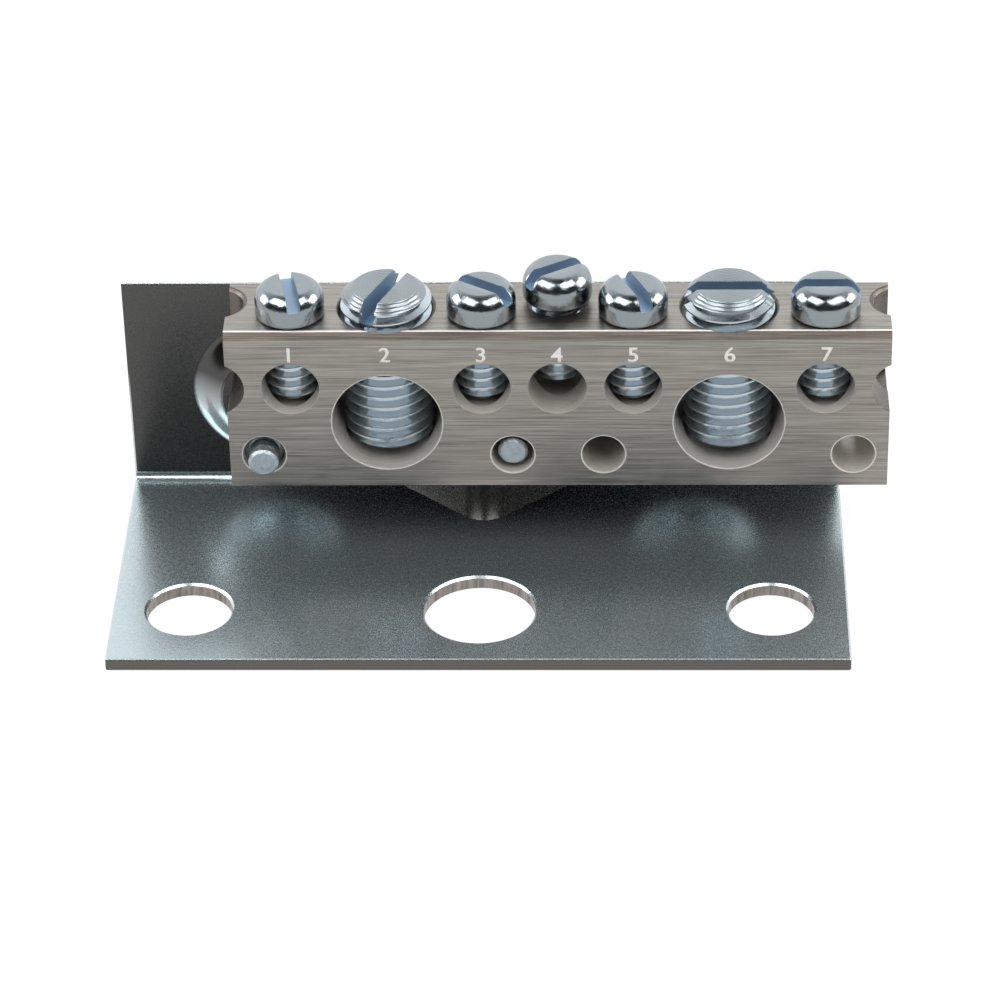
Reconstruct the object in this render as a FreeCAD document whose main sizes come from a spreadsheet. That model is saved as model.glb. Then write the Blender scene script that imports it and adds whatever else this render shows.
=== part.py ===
import FreeCAD, Part
import math
import os
from enum import IntEnum
import Sketcher

# Ground bar: a folded steel bracket that carries a drilled aluminium terminal bar.
# Millimetres, X along the bar, Y towards the flange, Z up.
# The origin is the centre of the large base hole on the underside of the bracket.

SIZES = {
    # bracket plate
    "plate_thick": 1.6,
    "bracket_width": 84.6,
    "hole_to_front": 9.8,
    "hole_to_flange": 27.25,
    "flange_height": 28.95,
    "bend_radius": 1.0,
    "centre_hole_dia": 12.9,
    "side_hole_dia": 9.9,
    "side_hole_pitch": 67.0,
    "rim_break": 0.25,
    # stiffening dart in the bend
    "dart_reach": 10.3,
    "dart_half_width": 11.9,
    "dart_round": 4.5,
    # standoff bosses in the flange
    "boss_height": 2.4,
    "boss_foot_radius": 8.95,
    "boss_top_radius": 6.3,
    "boss_blend": 0.5,
    # terminal bar
    "bar_length": 76.2,
    "bar_height": 20.8,
    "bar_depth": 12.0,
    "bar_lift": 10.0,
    "bar_shift": 9.0,
    "bar_bevel": 0.8,
    "edge_break": 0.15,
    "main_port_dia": 12.7,
    "main_port_height": 8.8,
    "main_port_offset": 19.7,
    "side_port_dia": 6.75,
    "side_port_height": 13.4,
    "side_port_step": 8.7,
    "mount_hole_dia": 4.9,
    "mount_hole_height": 4.4,
    "mount_hole_inner": 5.25,
    "mount_hole_outer": 34.1,
    "screw_stagger": 1.2,
    "thread_clearance": 0.05,
    "small_mouth": 0.35,
    "large_mouth": 0.35,
    "small_tap_drop": 0.4,
    "large_tap_drop": 4.6,
    # small clamp screws
    "port_thread_dia": 6.2,
    "port_tip_gap": 0.9,
    "port_head_dia": 8.0,
    "port_head_height": 3.85,
    "port_seat_round": 0.45,
    "port_crown_radius": 2.6,
    "port_crown_drop": 0.65,
    "port_dome_radius": 3.55,
    "port_dome_drop": 1.85,
    "port_slot_width": 1.5,
    "port_slot_depth": 1.65,
    "port_tip_chamfer": 0.8,
    "port_lift_middle": 0.8,
    # large clamp screws
    "main_thread_dia": 10.5,
    "main_length": 19.25,
    "main_tip_gap": 0.15,
    "main_crown_run": 1.45,
    "main_crown_drop": 1.3,
    "main_slot_width": 1.7,
    "main_slot_depth": 2.7,
    "main_tip_chamfer": 0.7,
    # screws that hold the bar to the flange
    "mount_thread_dia": 4.8,
    "mount_tip_dia": 3.5,
    "mount_tip_taper": 2.4,
    "mount_washer_dia": 9.8,
    "mount_washer_thick": 0.8,
    "mount_hex_width": 7.9,
    "mount_head_height": 3.0,
    "mount_length": 15.5,
    # turn of each slot about its screw, in degrees from X
    "turn_port_1": -78.0,
    "turn_port_2": -33.0,
    "turn_port_3": 32.0,
    "turn_port_4": -66.0,
    "turn_port_5": 0.0,
    "turn_main_left": 66.0,
    "turn_main_right": 0.0,
}

NEAR = 1e-6
MOUTH_TAPER = -45.0
RIDGE_TILT = 45.0


class Spot(IntEnum):
    """The sketcher's own numbers for its axes and for the points of an edge."""
    V_AXIS = -2
    H_AXIS = -1
    START = 1
    END = 2
    CENTRE = 3


doc = FreeCAD.newDocument("GroundBar")
sheet = doc.addObject("Spreadsheet::Sheet", "Sizes")
for row, (alias, value) in enumerate(SIZES.items(), start=1):
    sheet.set(f"A{row}", alias)
    sheet.set(f"B{row}", str(value))
    sheet.setAlias(f"B{row}", alias)
doc.recompute()


def bind(text):
    """Turns a formula of plain size names into one that reads them from the sheet."""
    for alias in sorted(SIZES, key=len, reverse=True):
        text = text.replace(f"<{alias}>", f"Sizes.{alias}")
    return text


def worth(text):
    """The present value of a formula."""
    value = sheet.evalExpression(bind(text))
    return float(getattr(value, "Value", value))


def new_body(label):
    """An empty body whose label names its file."""
    body = doc.addObject("PartDesign::Body", label)
    body.Label = label
    return body


def new_sketch(body, name, role, lift=None, along=None, across=None, tilt=0.0):
    """A sketch on one of the body's own origin planes, moved by formulas along its three directions."""
    sketch = body.newObject("Sketcher::SketchObject", name)
    plane = next(item for item in body.Origin.OriginFeatures if item.Role == role)
    sketch.AttachmentSupport = [(plane, "")]
    sketch.MapMode = "FlatFace"
    sketch.AttachmentOffset = FreeCAD.Placement(
        FreeCAD.Vector(), FreeCAD.Rotation(FreeCAD.Vector(1, 0, 0), tilt))
    for direction, formula in (("x", along), ("y", across), ("z", lift)):
        if formula:
            sketch.setExpression(f"AttachmentOffset.Base.{direction}", bind(formula))
    return sketch


def pin(sketch, geometry, position, x, y):
    """Holds a point of a sketch at the place given by two formulas."""
    origin = (Spot.H_AXIS, Spot.START)
    for kind, axis, formula in (("DistanceX", Spot.V_AXIS, x), ("DistanceY", Spot.H_AXIS, y)):
        value = worth(formula)
        if abs(value) < NEAR:
            sketch.addConstraint(Sketcher.Constraint("PointOnObject", geometry, position, axis))
            continue
        if value > 0:
            ends = (*origin, geometry, position)
            signed = formula
        else:
            ends = (geometry, position, *origin)
            signed = f"-({formula})"
        number = sketch.addConstraint(Sketcher.Constraint(kind, *ends, abs(value)))
        sketch.setExpression(f"Constraints[{number}]", bind(signed))


def drive(sketch, kind, geometry, formula):
    """Gives a circle or an arc its radius or diameter by a formula."""
    number = sketch.addConstraint(Sketcher.Constraint(kind, geometry, worth(formula)))
    sketch.setExpression(f"Constraints[{number}]", bind(formula))


def add_circle(sketch, x, y, diameter):
    """A circle whose centre and diameter follow formulas."""
    circle = Part.Circle(FreeCAD.Vector(worth(x), worth(y), 0), FreeCAD.Vector(0, 0, 1), worth(diameter) / 2)
    geometry = sketch.addGeometry(circle, False)
    pin(sketch, geometry, Spot.CENTRE, x, y)
    drive(sketch, "Diameter", geometry, diameter)


def add_polygon(sketch, corners):
    """A closed outline of straight edges with every corner pinned by formulas."""
    places = [FreeCAD.Vector(worth(x), worth(y), 0) for x, y in corners]
    edges = []
    for place, following in zip(places, places[1:] + places[:1]):
        edges.append(sketch.addGeometry(Part.LineSegment(place, following), False))
    for edge, following in zip(edges, edges[1:] + edges[:1]):
        sketch.addConstraint(Sketcher.Constraint("Coincident", edge, Spot.END, following, Spot.START))
    for edge, (x, y) in zip(edges, corners):
        pin(sketch, edge, Spot.START, x, y)


def add_arc(sketch, centre, radius, first, last):
    """An arc from one direction to another, both in degrees."""
    circle = Part.Circle(FreeCAD.Vector(*centre, 0), FreeCAD.Vector(0, 0, 1), radius)
    return sketch.addGeometry(Part.ArcOfCircle(circle, math.radians(first), math.radians(last)), False)


def add_line(sketch, first, last):
    """A straight edge between two points."""
    return sketch.addGeometry(Part.LineSegment(FreeCAD.Vector(*first, 0), FreeCAD.Vector(*last, 0)), False)


def pad(body, name, sketch, length):
    """Material on both sides of a sketch."""
    feature = body.newObject("PartDesign::Pad", name)
    feature.Profile = sketch
    feature.Midplane = True
    feature.setExpression("Length", bind(length))
    doc.recompute()
    return feature


def pocket_through(body, name, sketch):
    """A cut right through the body, on both sides of a sketch."""
    feature = body.newObject("PartDesign::Pocket", name)
    feature.Profile = sketch
    feature.Type = "ThroughAll"
    feature.Midplane = True
    return checked_cut(body, feature)


def pocket_down(body, name, sketch, depth):
    """A cut of a set depth below its sketch."""
    feature = body.newObject("PartDesign::Pocket", name)
    feature.Profile = sketch
    feature.setExpression("Length", bind(depth))
    return checked_cut(body, feature)


def checked_cut(body, feature):
    """Computes a cut and stops if it takes nothing away."""
    before = feature.BaseFeature.Shape.Volume
    doc.recompute()
    if feature.Shape.Volume >= before - NEAR:
        raise RuntimeError(f"{body.Label}: {feature.Name} removes nothing")
    return feature


def revolve(body, name, sketch, kind="Revolution"):
    """A full turn of a sketch about its own vertical axis, to add or with Groove to cut."""
    feature = body.newObject(f"PartDesign::{kind}", name)
    feature.Profile = sketch
    feature.ReferenceAxis = (sketch, ["V_Axis"])
    feature.Angle = 360.0
    doc.recompute()
    return feature


def dress(body, name, kind, edges, size_property, formula):
    """Fillets or chamfers the edges of the body's present shape that a test picks."""
    base = body.Tip
    picked = [f"Edge{number}" for number, edge in enumerate(base.Shape.Edges, start=1) if edges(edge)]
    if not picked:
        raise RuntimeError(f"{body.Label}: no edge for {name}")
    feature = body.newObject(f"PartDesign::{kind}", name)
    feature.Base = (base, picked)
    feature.setExpression(size_property, bind(formula))
    doc.recompute()
    return feature


def is_round(edge, radius):
    """True for a circular edge of that radius."""
    return isinstance(edge.Curve, Part.Circle) and abs(edge.Curve.Radius - radius) < NEAR


def place(body, x, y, z, axis=(0, 0, 1), turn="0"):
    """Puts a body at a point given by formulas, turned about an axis."""
    body.Placement = FreeCAD.Placement(FreeCAD.Vector(), FreeCAD.Rotation(FreeCAD.Vector(*axis), worth(turn)))
    for direction, formula in (("x", x), ("y", y), ("z", z)):
        body.setExpression(f"Placement.Base.{direction}", bind(formula))
    if turn != "0":
        body.setExpression("Placement.Rotation.Angle", bind(turn))


# Places that several pieces share, as formulas of the sizes.
BAR_BACK = "(<hole_to_flange> - <boss_height>)"
BAR_MIDDLE = f"({BAR_BACK} - <bar_depth> / 2)"
BAR_TOP = "(<bar_lift> + <bar_height>)"
MOUNT_LEVEL = "(<bar_lift> + <mount_hole_height>)"
MOUNT_LEFT = "(<bar_shift> - <mount_hole_outer>)"
MOUNT_CENTRE = "(<bar_shift> - <mount_hole_inner>)"
OUTER_PORT = "(2 * <main_port_offset> - <side_port_step>)"
END_PORT = "(2 * <main_port_offset>)"
RECESS_FLOOR = f"({BAR_BACK} + <plate_thick>)"
FLANGE_BACK = "(<hole_to_flange> + <plate_thick>)"

# Port stations along the bar from its middle, with the row that each tapped hole stands in.
FRONT_ROW = "-<screw_stagger>"
BACK_ROW = "<screw_stagger>"
PORT_STATIONS = [
    (f"-{OUTER_PORT}", FRONT_ROW),
    ("-<side_port_step>", FRONT_ROW),
    ("0", BACK_ROW),
    ("<side_port_step>", FRONT_ROW),
    (OUTER_PORT, FRONT_ROW),
]
END_STATIONS = [(f"-{END_PORT}", BACK_ROW), (END_PORT, BACK_ROW)]
MAIN_STATIONS = ["-<main_port_offset>", "<main_port_offset>"]
MOUNT_STATIONS = ["-<mount_hole_outer>", "-<mount_hole_inner>", "<mount_hole_inner>", "<mount_hole_outer>"]
SMALL_TAP = "(<port_thread_dia> + 2 * <thread_clearance>)"
LARGE_TAP = "(<main_thread_dia> + 2 * <thread_clearance>)"
MOUNT_CLEARANCE = "(<mount_thread_dia> + 2 * <thread_clearance>)"

# The small tapped holes run through the floors of their ports and the large ones past the middle of theirs.
# Each clamp screw ends a gap above the floor of its hole.
SMALL_TAP_DEPTH = "(<bar_height> - <side_port_height> + <side_port_dia> / 2 + <small_tap_drop>)"
LARGE_TAP_DEPTH = "(<bar_height> - <main_port_height> + <large_tap_drop>)"
PORT_SHANK = f"({SMALL_TAP_DEPTH} - <port_tip_gap>)"
MAIN_TIP = f"({BAR_TOP} - {LARGE_TAP_DEPTH} + <main_tip_gap>)"

# The dart in a plane across its ridge: its height over the corner, and how its sides widen and lean.
DART_RISE = "(<dart_reach> / sqrt(2))"
DART_SPREAD = f"(<dart_half_width> / {DART_RISE})"
DART_LEAN = f"(sqrt(<dart_half_width>^2 + {DART_RISE}^2) / <dart_half_width>)"

# Lengths that only have to run past the plate.
RIDGE_RUN = "(4 * <dart_reach>)"
TRIM_RUN = "(8 * <dart_reach>)"
DENT_RUN = "(3 * <plate_thick>)"
HALF_PLATE = "(<plate_thick> / 2)"


def dart_section(sketch, apex_round, foot_half_width, foot_level):
    """The dart's rounded roof in a plane across its ridge, down to a flat foot below it."""
    centre_level = f"({DART_RISE} - <dart_round> * {DART_LEAN})"
    slope = math.degrees(math.atan2(worth(DART_RISE), worth("<dart_half_width>")))
    radius = worth(apex_round)
    middle = worth(centre_level)
    half = worth(foot_half_width)
    foot = worth(foot_level)
    touch_x = radius * math.sin(math.radians(slope))
    touch_y = middle + radius * math.cos(math.radians(slope))
    left = add_line(sketch, (-half, foot), (-touch_x, touch_y))
    crown = add_arc(sketch, (0, middle), radius, 90 - slope, 90 + slope)
    right = add_line(sketch, (touch_x, touch_y), (half, foot))
    floor = add_line(sketch, (half, foot), (-half, foot))
    sketch.addConstraint(Sketcher.Constraint("Tangent", left, Spot.END, crown, Spot.END))
    sketch.addConstraint(Sketcher.Constraint("Tangent", right, Spot.START, crown, Spot.START))
    sketch.addConstraint(Sketcher.Constraint("Coincident", right, Spot.END, floor, Spot.START))
    sketch.addConstraint(Sketcher.Constraint("Coincident", floor, Spot.END, left, Spot.START))
    pin(sketch, crown, Spot.CENTRE, "0", centre_level)
    drive(sketch, "Radius", crown, apex_round)
    pin(sketch, left, Spot.START, f"-{foot_half_width}", foot_level)
    pin(sketch, right, Spot.END, foot_half_width, foot_level)


def plate_section(sketch):
    """The folded plate seen from its side, with both faces of the bend rounded about one centre."""
    thick, radius = worth("<plate_thick>"), worth("<bend_radius>")
    front, inner, top = -worth("<hole_to_front>"), worth("<hole_to_flange>"), worth("<flange_height>")
    outer = inner + thick
    bend = (inner - radius, thick + radius)
    under = add_line(sketch, (front, 0), (bend[0], 0))
    outside = add_arc(sketch, bend, radius + thick, -90, 0)
    back = add_line(sketch, (outer, bend[1]), (outer, top))
    crest = add_line(sketch, (outer, top), (inner, top))
    face = add_line(sketch, (inner, top), (inner, bend[1]))
    inside = add_arc(sketch, bend, radius, -90, 0)
    floor = add_line(sketch, (bend[0], thick), (front, thick))
    nose = add_line(sketch, (front, thick), (front, 0))
    for line, position, arc, arc_end in (
            (under, Spot.END, outside, Spot.START),
            (back, Spot.START, outside, Spot.END),
            (face, Spot.END, inside, Spot.END),
            (floor, Spot.START, inside, Spot.START)):
        sketch.addConstraint(Sketcher.Constraint("Tangent", line, position, arc, arc_end))
    for line, following in ((back, crest), (crest, face), (floor, nose), (nose, under)):
        sketch.addConstraint(Sketcher.Constraint("Coincident", line, Spot.END, following, Spot.START))
    for line in (under, crest, floor):
        sketch.addConstraint(Sketcher.Constraint("Horizontal", line))
    for line in (back, face, nose):
        sketch.addConstraint(Sketcher.Constraint("Vertical", line))
    pin(sketch, nose, Spot.END, "-<hole_to_front>", "0")
    pin(sketch, back, Spot.END, FLANGE_BACK, "<flange_height>")
    drive(sketch, "Radius", inside, "<bend_radius>")
    drive(sketch, "Radius", outside, "<bend_radius> + <plate_thick>")


def make_bracket():
    """One folded plate with its dart, bosses and holes."""
    body = new_body("bracket")

    # The dart's ridge runs up the corner at 45 degrees and is kept only inside the corner.
    ridge = new_sketch(body, "RidgeSketch", "XZ_Plane", tilt=RIDGE_TILT)
    place_across_corner(ridge)
    dart_section(ridge, "<dart_round>", f"({DART_SPREAD} * ({DART_RISE} + <plate_thick>))", "-<plate_thick>")
    pad(body, "DartRidge", ridge, RIDGE_RUN)
    trim = new_sketch(body, "TrimSketch", "YZ_Plane")
    add_polygon(trim, [
        (f"<hole_to_flange> + {HALF_PLATE}", HALF_PLATE),
        (f"<hole_to_flange> + {HALF_PLATE}", TRIM_RUN),
        (f"<hole_to_flange> + {TRIM_RUN}", TRIM_RUN),
        (f"<hole_to_flange> + {TRIM_RUN}", f"-{TRIM_RUN}"),
        (f"<hole_to_flange> - {TRIM_RUN}", f"-{TRIM_RUN}"),
        (f"<hole_to_flange> - {TRIM_RUN}", HALF_PLATE),
    ])
    pocket_through(body, "DartTrim", trim)

    section = new_sketch(body, "PlateSketch", "YZ_Plane")
    plate_section(section)
    pad(body, "Plate", section, "<bracket_width>")

    # Frustum bosses stand the bar off the flange. Their tops and feet are blended into the slant.
    slant = "sqrt((<boss_foot_radius> - <boss_top_radius>)^2 + <boss_height>^2)"
    run = f"(<boss_blend> * (<boss_foot_radius> - <boss_top_radius>) / {slant})"
    fall = f"(<boss_blend> * <boss_height> / {slant})"
    boss = new_sketch(body, "BossSketch", "XY_Plane", lift=MOUNT_LEVEL, along=MOUNT_LEFT)
    add_polygon(boss, [
        ("0", BAR_BACK),
        ("<boss_top_radius> - <boss_blend>", BAR_BACK),
        (f"<boss_top_radius> + {run}", f"{BAR_BACK} + {fall}"),
        (f"<boss_foot_radius> - {run}", f"<hole_to_flange> - {fall}"),
        ("<boss_foot_radius> + <boss_blend>", "<hole_to_flange>"),
        ("<boss_foot_radius> + <boss_blend>", f"<hole_to_flange> + {HALF_PLATE}"),
        ("0", f"<hole_to_flange> + {HALF_PLATE}"),
    ])
    repeat_boss(body, "Bosses", revolve(body, "Boss", boss))

    # Behind the ridge the plate is dented by the same roof, one thickness further out.
    dent = new_sketch(body, "DentSketch", "XZ_Plane", tilt=RIDGE_TILT)
    place_across_corner(dent)
    dent_rise = f"({DART_RISE} - <plate_thick> * {DART_LEAN})"
    dart_section(dent, "(<dart_round> - <plate_thick>)", f"({DART_SPREAD} * ({dent_rise} + {DENT_RUN}))",
                 f"-{DENT_RUN}")
    pocket_through(body, "DartDent", dent)

    # The bosses are hollow behind, so the screw through the left one sits deeper than the centre screw.
    shrink = "(<plate_thick> * tan(atan(<boss_height> / (<boss_foot_radius> - <boss_top_radius>)) / 2))"
    hollow = new_sketch(body, "HollowSketch", "XY_Plane", lift=MOUNT_LEVEL, along=MOUNT_LEFT)
    add_polygon(hollow, [
        ("0", RECESS_FLOOR),
        (f"<boss_top_radius> - {shrink}", RECESS_FLOOR),
        (f"<boss_foot_radius> - {shrink}", FLANGE_BACK),
        (f"<boss_foot_radius> - {shrink}", f"{FLANGE_BACK} + <plate_thick>"),
        ("0", f"{FLANGE_BACK} + <plate_thick>"),
    ])
    repeat_boss(body, "BossHollows", revolve(body, "BossHollow", hollow, "Groove"))
    clearance = new_sketch(body, "ScrewHoleSketch", "XZ_Plane", across=MOUNT_LEVEL)
    for station in (MOUNT_LEFT, MOUNT_CENTRE):
        add_circle(clearance, station, "0", MOUNT_CLEARANCE)
    pocket_through(body, "ScrewHoles", clearance)

    holes = new_sketch(body, "BaseHoleSketch", "XY_Plane")
    add_circle(holes, "0", "0", "<centre_hole_dia>")
    for side in ("-<side_hole_pitch> / 2", "<side_hole_pitch> / 2"):
        add_circle(holes, side, "0", "<side_hole_dia>")
    pocket_through(body, "BaseHoles", holes)
    rims = (worth("<centre_hole_dia>") / 2, worth("<side_hole_dia>") / 2)
    dress(body, "HoleRims", "Chamfer",
          lambda edge: any(is_round(edge, rim) for rim in rims) and edge.BoundBox.ZMin > worth(HALF_PLATE),
          "Size", "<rim_break>")
    return body


def place_across_corner(sketch):
    """Moves a tilted sketch so that its origin lies on the line where base and flange meet inside."""
    sketch.setExpression("AttachmentOffset.Base.y", bind("<plate_thick>"))
    sketch.setExpression("AttachmentOffset.Base.z", bind("-<hole_to_flange>"))


def repeat_boss(body, name, feature):
    """Repeats the left boss as far out on the right of the dart."""
    pattern = body.newObject("PartDesign::LinearPattern", name)
    pattern.Originals = [feature]
    x_axis = next(item for item in body.Origin.OriginFeatures if item.Role == "X_Axis")
    pattern.Direction = (x_axis, [""])
    pattern.setExpression("Length", bind(f"-2 * {MOUNT_LEFT}"))
    pattern.Occurrences = 2
    body.Tip = pattern
    doc.recompute()


def make_terminal_bar():
    """The drilled bar, with its end ports and end taps sawn through."""
    body = new_body("terminal_bar")
    section = new_sketch(body, "BarSketch", "YZ_Plane", lift="<bar_shift>", along=BAR_MIDDLE,
                         across="<bar_lift>")
    half = "<bar_depth> / 2"
    add_polygon(section, [
        (f"-({half}) + <edge_break>", "0"),
        (f"{half} - <edge_break>", "0"),
        (half, "<edge_break>"),
        (half, "<bar_height> - <bar_bevel>"),
        (f"{half} - <bar_bevel>", "<bar_height>"),
        (f"-({half}) + <bar_bevel>", "<bar_height>"),
        (f"-({half})", "<bar_height> - <bar_bevel>"),
        (f"-({half})", "<edge_break>"),
    ])
    pad(body, "Bar", section, "<bar_length>")

    ports = new_sketch(body, "PortSketch", "XZ_Plane", along="<bar_shift>", across="<bar_lift>")
    for station in MAIN_STATIONS:
        add_circle(ports, station, "<main_port_height>", "<main_port_dia>")
    for station, _ in PORT_STATIONS + END_STATIONS:
        add_circle(ports, station, "<side_port_height>", "<side_port_dia>")
    for station in MOUNT_STATIONS:
        add_circle(ports, station, "<mount_hole_height>", "<mount_hole_dia>")
    pocket_through(body, "Ports", ports)

    small = new_sketch(body, "SmallTapSketch", "XY_Plane", lift=BAR_TOP, along="<bar_shift>",
                       across=BAR_MIDDLE)
    for station, row in PORT_STATIONS + END_STATIONS:
        add_circle(small, station, row, SMALL_TAP)
    pocket_down(body, "SmallTaps", small, SMALL_TAP_DEPTH)
    large = new_sketch(body, "LargeTapSketch", "XY_Plane", lift=BAR_TOP, along="<bar_shift>",
                       across=BAR_MIDDLE)
    for station in MAIN_STATIONS:
        add_circle(large, station, "0", LARGE_TAP)
    pocket_down(body, "LargeTaps", large, LARGE_TAP_DEPTH)
    for name, width, mouth, spots in (
            ("Small", SMALL_TAP, "<small_mouth>", PORT_STATIONS + END_STATIONS),
            ("Large", LARGE_TAP, "<large_mouth>", [(station, "0") for station in MAIN_STATIONS])):
        cone = new_sketch(body, f"{name}MouthSketch", "XY_Plane", lift=BAR_TOP, along="<bar_shift>",
                          across=BAR_MIDDLE)
        for station, row in spots:
            add_circle(cone, station, row, f"{width} + 2 * {mouth}")
        sunk_mouth = pocket_down(body, f"{name}Mouths", cone, mouth)
        sunk_mouth.TaperAngle = MOUTH_TAPER
        doc.recompute()
    return body


def make_port_screw(label, station, row, turn, lift):
    """A slotted clamp screw with a rounded cheese head, seated on its local XY plane."""
    body = new_body(label)
    outline = new_sketch(body, "TurnedSketch", "XZ_Plane")
    thread, head = "<port_thread_dia> / 2", "<port_head_dia> / 2"
    add_polygon(outline, [
        ("0", f"-{PORT_SHANK}"),
        (f"{thread} - <port_tip_chamfer>", f"-{PORT_SHANK}"),
        (thread, f"-{PORT_SHANK} + <port_tip_chamfer>"),
        (thread, "0"),
        (f"{head} - <port_seat_round>", "0"),
        (head, "<port_seat_round>"),
        (head, "<port_head_height> - <port_dome_drop>"),
        ("<port_dome_radius>", "<port_head_height> - <port_crown_drop>"),
        ("<port_crown_radius>", "<port_head_height>"),
        ("0", "<port_head_height>"),
    ])
    revolve(body, "Turned", outline)
    cut_slot(body, "<port_head_height>", "<port_slot_depth>", "<port_slot_width>", "<port_head_dia>")
    place(body, f"<bar_shift> + {station}", f"{BAR_MIDDLE} + {row}", f"{BAR_TOP} + {lift}", turn=turn)
    return body


def make_main_screw(label, station, turn):
    """A large headless clamp screw with a bevelled slotted top, its top on the local XY plane."""
    body = new_body(label)
    outline = new_sketch(body, "TurnedSketch", "XZ_Plane")
    thread = "<main_thread_dia> / 2"
    add_polygon(outline, [
        ("0", "-<main_length>"),
        (f"{thread} - <main_tip_chamfer>", "-<main_length>"),
        (thread, "-<main_length> + <main_tip_chamfer>"),
        (thread, "-<main_crown_drop>"),
        (f"{thread} - <main_crown_run>", "0"),
        ("0", "0"),
    ])
    revolve(body, "Turned", outline)
    cut_slot(body, "0", "<main_slot_depth>", "<main_slot_width>", "<main_thread_dia>")
    place(body, f"<bar_shift> + {station}", BAR_MIDDLE, f"{MAIN_TIP} + <main_length>", turn=turn)
    return body


def cut_slot(body, top, depth, width, across):
    """A screwdriver slot along the local X axis."""
    slot = new_sketch(body, "SlotSketch", "XY_Plane", lift=top)
    add_polygon(slot, [
        (f"-({across})", f"-({width}) / 2"),
        (across, f"-({width}) / 2"),
        (across, f"{width} / 2"),
        (f"-({across})", f"{width} / 2"),
    ])
    pocket_down(body, "Slot", slot, depth)


def make_mount_screw(label, station, seat):
    """A screw from behind the flange, its washer face on the local XY plane and its tip along local Z."""
    body = new_body(label)
    outline = new_sketch(body, "TurnedSketch", "XZ_Plane")
    thread, tip = "<mount_thread_dia> / 2", "<mount_tip_dia> / 2"
    add_polygon(outline, [
        ("0", "<mount_length>"),
        (tip, "<mount_length>"),
        (thread, "<mount_length> - <mount_tip_taper>"),
        (thread, "0"),
        ("<mount_washer_dia> / 2", "0"),
        ("<mount_washer_dia> / 2", "-<mount_washer_thick>"),
        ("0", "-<mount_washer_thick>"),
    ])
    revolve(body, "Turned", outline)
    hexagon = new_sketch(body, "HexSketch", "XY_Plane", lift="-<mount_washer_thick>")
    corners = []
    for step in range(6):
        angle = 60 * step
        corners.append((f"<mount_hex_width> / sqrt(3) * cos({angle} deg)",
                        f"<mount_hex_width> / sqrt(3) * sin({angle} deg)"))
    add_polygon(hexagon, corners)
    head = body.newObject("PartDesign::Pad", "HexHead")
    head.Profile = hexagon
    head.Reversed = True
    head.setExpression("Length", bind("<mount_head_height> - <mount_washer_thick>"))
    place(body, station, seat, MOUNT_LEVEL, axis=(1, 0, 0), turn="90")
    return body


parts = [make_bracket(), make_terminal_bar()]
for number, (station, row) in enumerate(PORT_STATIONS, start=1):
    lift = "<port_lift_middle>" if station == "0" else "0"
    parts.append(make_port_screw(f"port_screw_{number}", station, row, f"<turn_port_{number}>", lift))
for side, station in zip(("left", "right"), MAIN_STATIONS):
    parts.append(make_main_screw(f"main_screw_{side}", station, f"<turn_main_{side}>"))
parts.append(make_mount_screw("mount_screw_left", MOUNT_LEFT, RECESS_FLOOR))
parts.append(make_mount_screw("mount_screw_centre", MOUNT_CENTRE, FLANGE_BACK))
doc.recompute()

for item in doc.Objects:
    if "Invalid" in item.State or "Error" in item.State:
        raise RuntimeError(f"{item.Name} failed: {item.State}")
for part in parts:
    if part.Shape.isNull() or not part.Shape.isValid() or len(part.Shape.Solids) != 1:
        raise RuntimeError(f"{part.Label} has no single valid solid")

os.makedirs("parts", exist_ok=True)
for part in parts:
    part.Shape.exportStep(f"parts/{part.Label}.step")
    box = part.Shape.optimalBoundingBox(False, False)
    print(f"{part.Label}: {part.Shape.Volume:.1f} mm3, X {box.XMin:.2f} to {box.XMax:.2f}, "
          f"Y {box.YMin:.2f} to {box.YMax:.2f}, Z {box.ZMin:.2f} to {box.ZMax:.2f}")
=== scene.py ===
import math

import bmesh
import bpy
from bpy.props import FloatProperty, FloatVectorProperty, PointerProperty
from mathutils import Matrix, Vector


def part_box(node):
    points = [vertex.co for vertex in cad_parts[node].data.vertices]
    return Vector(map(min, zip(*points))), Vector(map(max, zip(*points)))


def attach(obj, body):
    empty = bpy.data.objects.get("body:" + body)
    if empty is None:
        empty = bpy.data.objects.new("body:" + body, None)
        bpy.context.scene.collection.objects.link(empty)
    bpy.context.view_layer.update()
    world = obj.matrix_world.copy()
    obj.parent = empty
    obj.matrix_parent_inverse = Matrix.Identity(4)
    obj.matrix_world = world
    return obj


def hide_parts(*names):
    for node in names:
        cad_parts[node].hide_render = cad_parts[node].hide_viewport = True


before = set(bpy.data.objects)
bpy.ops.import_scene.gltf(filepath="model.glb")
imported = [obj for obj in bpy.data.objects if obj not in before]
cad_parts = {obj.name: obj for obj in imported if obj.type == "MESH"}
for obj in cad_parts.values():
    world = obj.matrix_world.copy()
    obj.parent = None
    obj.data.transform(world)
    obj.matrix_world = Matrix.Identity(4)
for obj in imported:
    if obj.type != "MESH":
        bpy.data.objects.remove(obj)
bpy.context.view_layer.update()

bl_info = {
    "name": "Ground bar",
    "version": (1, 0, 0),
    "blender": (4, 5, 0),
    "location": "3D View > Sidebar > Ground bar",
    "description": "Builds the visible pieces and the stage of a ground bar on its bracket",
    "category": "Object",
}

# Lengths are in metres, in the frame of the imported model: X along the bar, Y towards the flange, Z up.
MM = 0.001
WELD = 0.002 * MM
SEAM = 0.02 * MM
FRAME_BODY = "bar_on_bracket"
PORT_SCREWS = ["port_screw_1", "port_screw_2", "port_screw_3", "port_screw_4", "port_screw_5"]
MAIN_SCREWS = ["main_screw_left", "main_screw_right"]
MOUNT_SCREWS = ["mount_screw_left", "mount_screw_centre"]

# Angles between two faces, in degrees
FLAT_ANGLE = 0.4
CREASE_ANGLE = 32
SLOT_ANGLE = 40
CORNER_ANGLE = 60
RIDGE_ANGLES = (20, 70)

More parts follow.
